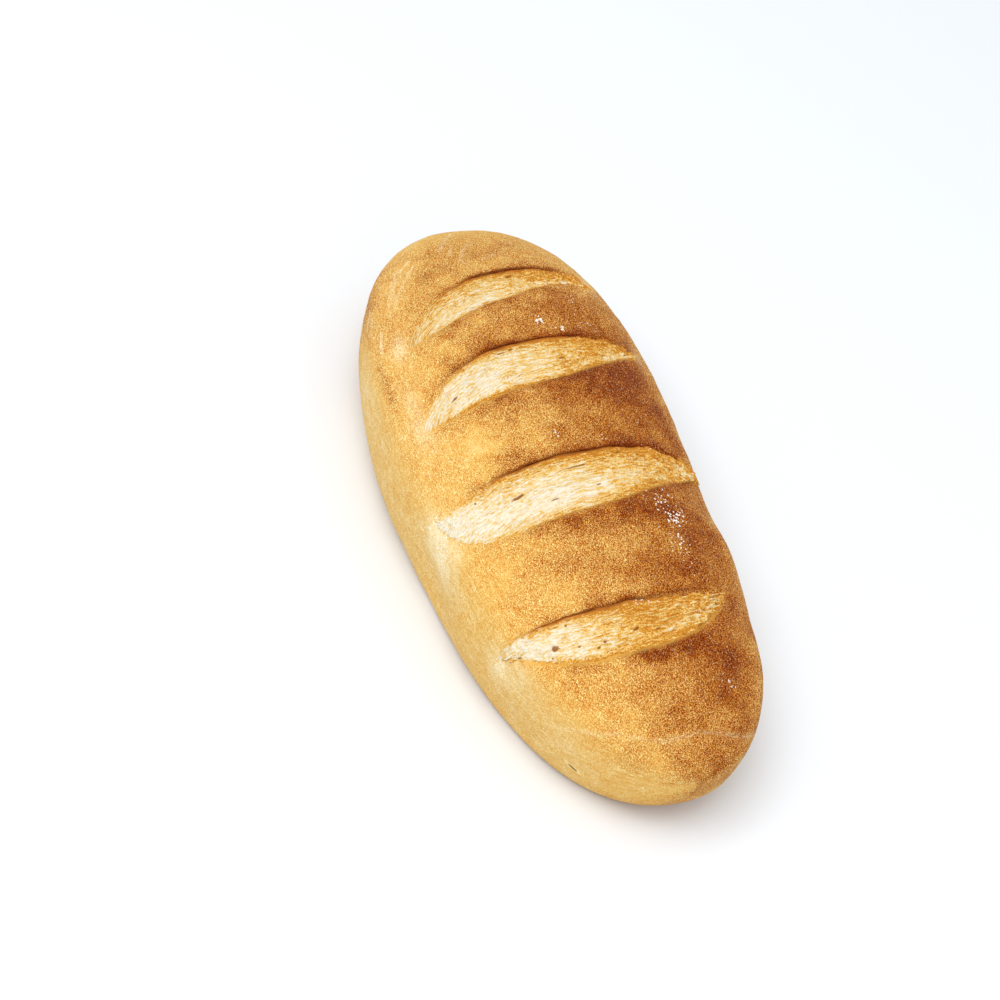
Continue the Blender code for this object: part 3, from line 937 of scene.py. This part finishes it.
class Shader:
    """A Principled material and short ways to add nodes to it."""

    def __init__(self, name):
        self.material = bpy.data.materials.new(name)
        self.material.use_nodes = True
        self.tree = self.material.node_tree

    def feed(self, node, feeds):
        """Sets each named socket to a number or colour, or links it to another socket."""
        for name, source in feeds.items():
            if isinstance(source, bpy.types.NodeSocket):
                self.tree.links.new(source, node.inputs[name])
            else:
                node.inputs[name].default_value = source

    def finish(self, feeds):
        self.feed(self.tree.nodes["Principled BSDF"], feeds)
        return self.material

    def add(self, kind, feeds, **settings):
        node = self.tree.nodes.new(kind)
        for key, value in settings.items():
            setattr(node, key, value)
        self.feed(node, feeds)
        return node

    def field(self, name, output="Fac"):
        """What the mesh stores at its points under this name."""
        return self.add("ShaderNodeAttribute", {}, attribute_name=name).outputs[output]

    def place(self):
        return self.add("ShaderNodeTexCoord", {}).outputs["Object"]

    def stretched(self, vector, scale, turn=0.0):
        feeds = {"Vector": vector, "Rotation": (0.0, 0.0, turn), "Scale": scale}
        return self.add("ShaderNodeMapping", feeds).outputs["Vector"]

    def noise(self, scale, detail, vector=None, roughness=0.6, distortion=0.0):
        feeds = {"Vector": vector or self.place(), "Scale": scale, "Detail": detail,
                 "Roughness": roughness, "Distortion": distortion}
        return self.add("ShaderNodeTexNoise", feeds).outputs["Fac"]

    def math(self, operation, *values):
        return self.add("ShaderNodeMath", dict(enumerate(values)), operation=operation).outputs[0]

    def span(self, value, low, high, to_low=0.0, to_high=1.0):
        """A value's smooth way from low to high, as a number from to_low to to_high."""
        feeds = {"Value": value, "From Min": low, "From Max": high, "To Min": to_low, "To Max": to_high}
        return self.add("ShaderNodeMapRange", feeds, interpolation_type="SMOOTHSTEP").outputs["Result"]

    def ramp(self, value, stops):
        node = self.add("ShaderNodeValToRGB", {"Fac": value})
        elements = node.color_ramp.elements
        while len(elements) < len(stops):
            elements.new(0.5)
        for element, (position, colour) in zip(elements, stops):
            element.position = position
            element.color = linear(colour)
        return node.outputs["Color"]

    def mix(self, share, first, second, **settings):
        feeds = {"Factor": share, MIX_FIRST: first, MIX_SECOND: second}
        return self.add("ShaderNodeMix", feeds, data_type="RGBA", **settings).outputs[MIX_RESULT]

    def paint(self, colour, share, screen_colour):
        """Lays a screen colour over a colour, as thickly as this share."""
        return self.mix(share, colour, linear(screen_colour))

    def bump(self, height, distance, strength=1.0, **normal):
        feeds = {"Height": height, "Distance": distance, "Strength": strength, **normal}
        return self.add("ShaderNodeBump", feeds).outputs["Normal"]


# Screen colours, from 0 to 255. The ramps give them by how browned or toasted the bread is.
CRUST_RAMP = (
    (0.0, (232, 196, 128)),
    (0.12, (228, 184, 100)),
    (0.24, (223, 170, 82)),
    (0.36, (219, 154, 66)),
    (0.48, (214, 137, 50)),
    (0.6, (203, 115, 33)),
    (0.72, (185, 93, 21)),
    (0.84, (162, 71, 13)),
    (1.0, (133, 49, 7)),
)
CRUMB_RAMP = (
    (0.0, (233, 224, 204)),
    (0.2, (230, 209, 162)),
    (0.4, (228, 196, 126)),
    (0.6, (224, 179, 88)),
    (0.8, (218, 161, 58)),
    (1.0, (190, 120, 32)),
)
UNDERSIDE_RAMP = ((0.3, (190, 128, 58)), (0.7, (214, 168, 96)))
GLINT_COLOUR = (252, 222, 160)
RIM_COLOUR = (232, 176, 78)
LIP_COLOUR = (118, 46, 10)
FLOURY_COLOUR = (249, 232, 184)
WISP_COLOUR = (248, 228, 172)
SLIT_EDGE_COLOUR = (250, 226, 160)
SLIT_SHADE_COLOUR = (104, 66, 14)
VALLEY_GOLD_AND_SHADE_COLOUR = (228, 166, 66)
PORE_SHADE_COLOUR = (148, 90, 20)
LIP_SHADE_AND_TOAST_COLOUR = (192, 116, 42)
FLOUR_COLOUR = (243, 238, 224)

# What the lightest, the plain and the darkest specks multiply the crust's colour by
# The light specks are partly the crust's pale grain and partly painted highlight on the tops of its fine
# bump; the dark ones are partly its dark grain and partly painted shade in the bump's pits.
LIGHT_SPECK_AND_HIGHLIGHT = (1.45, 2.3, 4.4, 1.0)
SPECK_NONE = (1.0, 1.0, 1.0, 1.0)
DARK_SPECK_AND_PIT_SHADE = (0.52, 0.2, 0.03, 1.0)


def speck_tone(shader, brown, grain):
    """The crust's fine specks: dark above 0 and light below, and stronger on browner crust. Besides the
    crust's grain they are painted light: painted shade where the bump has pits and painted highlight where
    it has tops.
    """
    dots = shader.noise(3700.0, 0.0)
    specks = shader.math("ADD", shader.span(grain, 0.36, 0.64, -0.46, 0.46),
                         shader.span(dots, 0.3, 0.7, -0.46, 0.46))
    return shader.math("MULTIPLY", specks, shader.span(brown, 0.15, 0.7, 0.38, 1.5))


def speckled(shader, colour, tone):
    """A colour with the light and the dark specks in it: the crust's grain, with painted highlight on the
    bump's tops and painted shade in its pits.
    """
    shade = shader.mix(shader.span(tone, 0.0, -0.7), SPECK_NONE, LIGHT_SPECK_AND_HIGHLIGHT)
    shade = shader.mix(shader.span(tone, 0.0, 0.7), shade, DARK_SPECK_AND_PIT_SHADE)
    return shader.mix(1.0, colour, shade, blend_type="MULTIPLY", clamp_result=True)


def with_slit(shader, colour):
    """A colour with the small hole of the near end painted in it, and the pale edge round the hole. The
    mesh has no hole there, so the hole's dark inside is painted shade.
    """
    middle, turn = slit_space()
    feeds = {"Vector": shader.place(), "Location": middle, "Rotation": turn, "Scale": SLIT_HALF_SIZES * MM}
    hole = shader.add("ShaderNodeMapping", feeds, vector_type="TEXTURE").outputs["Vector"]
    reach = shader.add("ShaderNodeVectorMath", {0: hole}, operation="LENGTH").outputs["Value"]
    colour = shader.paint(colour, shader.span(reach, 2.0, 1.2, 0.0, 0.8), SLIT_EDGE_COLOUR)
    # Painted shade where the hole's inside would be.
    return shader.paint(colour, shader.span(reach, 1.05, 0.85), SLIT_SHADE_COLOUR)


def crust_material():
    shader = Shader("crust")
    brown = shader.field("browning")
    flank = shader.field("flank")
    grain = shader.noise(2900.0, 1.0, shader.stretched(shader.place(), (0.62, 1.0, 1.0)), 0.6, 0.8)
    blotch = shader.noise(330.0, 2.0, distortion=0.5)
    swirl = shader.noise(420.0, 4.0, roughness=0.75, distortion=1.5)
    unrolled = shader.stretched(shader.field("unrolled", "Vector"), (0.16, 0.6, 1.0), -0.25)
    streaks = shader.noise(1.0, 4.0, unrolled, 0.75, 1.6)
    tone = speck_tone(shader, brown, grain)
    level = shader.math("MULTIPLY_ADD", tone, 0.14, brown)
    level = shader.math("MULTIPLY_ADD", shader.math("SUBTRACT", blotch, 0.5), 0.3, level)
    level = shader.math("MULTIPLY_ADD", shader.span(streaks, 0.3, 0.7, 0.13, -0.13), flank, level)
    colour = speckled(shader, shader.ramp(level, CRUST_RAMP), tone)
    glints = shader.span(shader.noise(2300.0, 0.0), 0.67, 0.77, 0.0, 0.65)
    glints = shader.math("MULTIPLY", glints, shader.span(brown, 0.35, 0.6))
    colour = shader.paint(colour, glints, GLINT_COLOUR)
    colour = shader.paint(colour, shader.math("MULTIPLY", shader.field("rim"), 0.75), RIM_COLOUR)
    colour = shader.paint(colour, shader.math("MULTIPLY", shader.field("lip"), 0.8), LIP_COLOUR)
    floury = shader.math("MULTIPLY", shader.field("pale"), shader.span(swirl, 0.35, 0.62, 0.25, 1.4))
    floury = shader.math("MULTIPLY", floury, shader.span(grain, 0.36, 0.62, 1.3, 0.55))
    colour = shader.paint(colour, floury, FLOURY_COLOUR)
    wisps = shader.math("MULTIPLY", shader.span(streaks, 0.6, 0.76, 0.0, 0.6), flank)
    colour = shader.paint(colour, wisps, WISP_COLOUR)
    underside = shader.ramp(shader.noise(140.0, 4.0), UNDERSIDE_RAMP)
    colour = shader.mix(shader.field("below"), colour, underside)
    # The bump sinks where the specks are dark and rises where they are light, to go with the painted shade
    # and painted highlight in them.
    pitted = shader.bump(shader.math("SUBTRACT", 0.5, tone), 0.00014)
    return shader.finish({
        "Base Color": with_slit(shader, colour),
        "Roughness": shader.span(grain, 0.3, 0.7, 0.45, 0.62),
        "Specular IOR Level": 0.04,
        "Normal": shader.bump(blotch, 0.0009, 0.4, Normal=pitted),
    })


def crumb_material():
    shader = Shader("crumb")
    toast = shader.field("toast")
    fibres = shader.stretched(shader.field("fibre", "Vector"), (0.3, 1.7, 1.0))
    threads = shader.noise(1.0, 5.0, fibres, 0.7, 0.9)
    grain = shader.noise(1500.0, 1.0, distortion=0.8)
    level = shader.math("ADD", toast, shader.span(threads, 0.35, 0.65, -0.46, 0.46))
    speckle = shader.math("MULTIPLY", shader.span(grain, 0.36, 0.64, -1.0, 1.0),
                          shader.span(toast, 0.3, 0.9, 0.16, 0.3))
    colour = shader.ramp(shader.math("ADD", level, speckle), CRUMB_RAMP)
    # The hollows between the strands: partly the crumb's golden streaks and partly painted shade.
    colour = shader.paint(colour, shader.span(shader.field("strand"), 0.5, 0.05, 0.0, 0.6), VALLEY_GOLD_AND_SHADE_COLOUR)
    # Painted shade in the pores' hollows, on top of the real dip the pores make in the crumb.
    colour = shader.paint(colour, shader.span(shader.field("pore"), 0.3, 0.75, 0.0, 0.92), PORE_SHADE_COLOUR)
    # Partly toast and partly painted shade on the crumb under the far lip's overhang.
    colour = shader.paint(colour, shader.field("under"), LIP_SHADE_AND_TOAST_COLOUR)
    return shader.finish({
        "Base Color": colour,
        "Roughness": 0.75,
        "Specular IOR Level": 0.12,
        "Subsurface Weight": 0.1,
        "Subsurface Radius": (1.0, 0.6, 0.3),
        "Subsurface Scale": 0.001,
        "Normal": shader.bump(grain, 0.00022, 0.8, Normal=shader.bump(threads, 0.0005, 0.9)),
    })


def flour_material():
    colour = linear(FLOUR_COLOUR)
    return Shader("flour").finish({"Base Color": colour, "Roughness": 0.9, "Specular IOR Level": 0.1})


# -------- the studio

CAMERA_AZIMUTH = -34.45  # round the loaf from +X towards +Y
CAMERA_ELEVATION = 46.06
CAMERA_ROLL = 19.40
CAMERA_DISTANCE = 1.0
AIM_HEIGHT = 40.0 * MM
AIM_PIXEL = (547.3, 479.1)  # where the middle of the loaf lies in the 1000 by 1000 picture
FOCAL_PIXELS = 2609.0
PICTURE_SIZE = 1000.0
SENSOR_WIDTH = 36.0
FLOOR_HALF_SIZE = 4.0
FLOOR_CORNERS = ((-1, -1), (1, -1), (1, 1), (-1, 1))
FLOOR_COLOUR = (0.775, 0.795, 0.82, 1.0)
SKY_COLOUR = (0.955, 0.98, 1.0, 1.0)
SKY_STRENGTH = 0.78


def add_camera():
    """The photograph's camera: it looks past the loaf, which lies off the picture's middle."""
    azimuth = math.radians(CAMERA_AZIMUTH)
    elevation = math.radians(CAMERA_ELEVATION)
    back = Vector((math.cos(elevation) * math.cos(azimuth),
                   math.cos(elevation) * math.sin(azimuth), math.sin(elevation)))
    right = Vector((0.0, 0.0, 1.0)).cross(back).normalized()
    upward = back.cross(right)
    turn = Matrix((right, upward, back)).transposed() @ Matrix.Rotation(math.radians(CAMERA_ROLL), 3, "Z")
    across = AIM_PIXEL[0] - PICTURE_SIZE / 2.0
    rise = PICTURE_SIZE / 2.0 - AIM_PIXEL[1]
    aside = Vector((0.0, 0.0, -1.0)).rotation_difference(Vector((across, rise, -FOCAL_PIXELS)))
    data = bpy.data.cameras.new("camera")
    data.sensor_width = SENSOR_WIDTH
    data.lens = FOCAL_PIXELS / PICTURE_SIZE * SENSOR_WIDTH
    data.clip_start = 0.05
    camera = add_to_scene("camera", data)
    aim = Vector(OFFSET) * MM + Vector((0.0, 0.0, AIM_HEIGHT))
    facing = turn @ aside.to_matrix().transposed()
    camera.matrix_world = Matrix.Translation(aim + back * CAMERA_DISTANCE) @ facing.to_4x4()
    bpy.context.scene.camera = camera


def add_softbox(name, place, size, power_watts, colour):
    """A square lamp that faces the loaf."""
    data = bpy.data.lights.new(name, "AREA")
    data.shape = "SQUARE"
    data.size = size
    data.energy = power_watts
    data.color = colour
    lamp = add_to_scene(name, data)
    lamp.location = place
    lamp.rotation_mode = "QUATERNION"
    lamp.rotation_quaternion = Vector(place).to_track_quat("Z", "Y")


def add_floor():
    data = bpy.data.meshes.new("floor")
    corners = [(x * FLOOR_HALF_SIZE, y * FLOOR_HALF_SIZE, 0.0) for x, y in FLOOR_CORNERS]
    data.from_pydata(corners, [], [(0, 1, 2, 3)])
    look = {"Base Color": FLOOR_COLOUR, "Roughness": 0.7, "Specular IOR Level": 0.2}
    data.materials.append(Shader("floor").finish(look))
    floor = add_to_scene("floor", data)


def add_studio():
    add_floor()
    add_softbox("key", place=(0.25, -0.7, 1.72), size=1.3, power_watts=24.0, colour=(0.99, 0.995, 1.0))
    add_softbox("front", place=(1.6, -0.2, 1.2), size=1.2, power_watts=4.0, colour=(1.0, 0.99, 0.975))
    world = bpy.data.worlds.new("studio")
    world.use_nodes = True
    background = world.node_tree.nodes["Background"]
    background.inputs["Color"].default_value = SKY_COLOUR
    background.inputs["Strength"].default_value = SKY_STRENGTH
    bpy.context.scene.world = world
    bpy.context.scene.view_settings.view_transform = "Standard"


# -------- making it all

def finish_piece(piece):
    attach(piece, "root")


add_camera()
add_studio()
crust = build_crust(crust_material())
finish_piece(crust)
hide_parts("loaf")
torn_look = crumb_material()
crumbs = [build_crumb(each_cut, torn_look) for each_cut in CUTS]
flour = build_flour([crust] + crumbs, flour_material())
for piece in crumbs + [flour]:
    finish_piece(piece)
